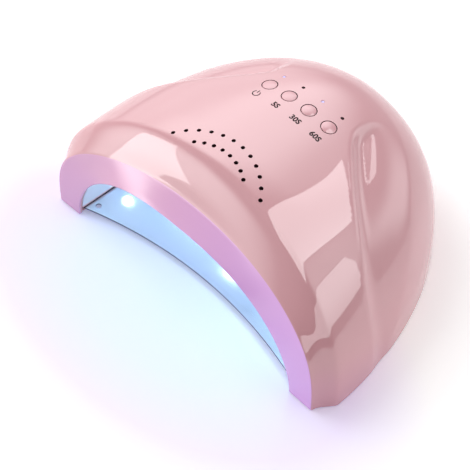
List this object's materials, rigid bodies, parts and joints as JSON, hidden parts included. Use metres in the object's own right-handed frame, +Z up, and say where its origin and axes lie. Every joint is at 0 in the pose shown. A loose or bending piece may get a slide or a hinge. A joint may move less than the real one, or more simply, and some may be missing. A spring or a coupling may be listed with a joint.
{
  "type": "uv led nail lamp",
  "caption": "Domed nail curing lamp with an arched hand cavity, push-button timer panel, LED strips behind a reflector and a mirror tray that slides out.",
  "frame": {"origin": "bottom centre of the lamp, on the surface that its rubber feet stand on", "axes": "+X to the right of somebody facing the mouth, -Y out of the mouth, +Z up"},
  "size_m": [0.2098, 0.1574, 0.0879],
  "materials": {
    "shell_gloss": "polished moulded plastic in pale pink",
    "button_gloss": "polished moulded plastic in the same pale pink",
    "reflector": "bright white moulded plastic with a satin sheen",
    "led_strip": "white solder mask with clear LED beads",
    "sensor_black": "smooth dark window",
    "base_plastic": "fine-textured moulded plastic in pale pink",
    "mirror_steel": "mirror-polished stainless sheet",
    "foot_rubber": "matt black rubber",
    "screw_steel": "zinc-plated",
    "indicator_lens": "clear light pipe",
    "circuit_board": "green solder mask",
    "cable_grey": "satin grey flat cable",
    "capacitor_sleeve": "printed sleeve without lettering",
    "ferrite": "matt ferrite",
    "black_plastic": "moulded black plastic"
  },
  "bodies": {
    "housing": {"upper_shell": "shell_gloss", "reflector_liner": "reflector", "led_strip_front": "led_strip", "led_strip_middle": "led_strip", "led_strip_rear": "led_strip", "led_strip_left": "led_strip", "led_strip_right": "led_strip", "hand_sensor": "sensor_black", "bottom_cover": "base_plastic", "rubber_foot_1": "foot_rubber", "rubber_foot_2": "foot_rubber", "rubber_foot_3": "foot_rubber", "rubber_foot_4": "foot_rubber", "cover_screw_1": "screw_steel", "cover_screw_2": "screw_steel", "cover_screw_3": "screw_steel", "cover_screw_4": "screw_steel", "cover_screw_5": "screw_steel", "cover_screw_6": "screw_steel", "tact_switch_1": "black_plastic", "tact_switch_2": "black_plastic", "tact_switch_3": "black_plastic", "tact_switch_4": "black_plastic", "indicator_light_1": "indicator_lens", "indicator_light_2": "indicator_lens", "indicator_light_3": "indicator_lens", "indicator_light_4": "indicator_lens", "control_board": "circuit_board", "timer_chip": "black_plastic", "control_screw_1": "screw_steel", "control_screw_2": "screw_steel", "control_screw_3": "screw_steel", "control_screw_4": "screw_steel", "driver_board": "circuit_board", "dc_jack": "black_plastic", "driver_inductor": "ferrite", "driver_capacitor": "capacitor_sleeve", "driver_transistor": "black_plastic", "driver_screw_1": "screw_steel", "driver_screw_2": "screw_steel", "ribbon_cable": "cable_grey"},
    "tray": {"base_tray": "mirror_steel"},
    "push_power": {"button_power": "button_gloss", "switch_plunger_1": "black_plastic"},
    "push_timer_5": {"button_timer_5": "button_gloss", "switch_plunger_2": "black_plastic"},
    "push_timer_30": {"button_timer_30": "button_gloss", "switch_plunger_3": "black_plastic"},
    "push_timer_60": {"button_timer_60": "button_gloss", "switch_plunger_4": "black_plastic"}
  },
  "joints": [
    {"name": "tray_slide", "type": "slide", "parent": "housing", "child": "tray", "axis": [0, -1, 0], "range_m": [0, 0.1]},
    {"name": "press_power", "type": "slide", "parent": "housing", "child": "push_power", "axis": [0, 0, -1], "range_m": [0, 0.0005], "stiffness_N_per_m": 3000},
    {"name": "press_timer_5", "type": "slide", "parent": "housing", "child": "push_timer_5", "axis": [0, 0, -1], "range_m": [0, 0.0005], "stiffness_N_per_m": 3000},
    {"name": "press_timer_30", "type": "slide", "parent": "housing", "child": "push_timer_30", "axis": [0, 0, -1], "range_m": [0, 0.0005], "stiffness_N_per_m": 3000},
    {"name": "press_timer_60", "type": "slide", "parent": "housing", "child": "push_timer_60", "axis": [0, 0, -1], "range_m": [0, 0.0005], "stiffness_N_per_m": 3000}
  ]
}
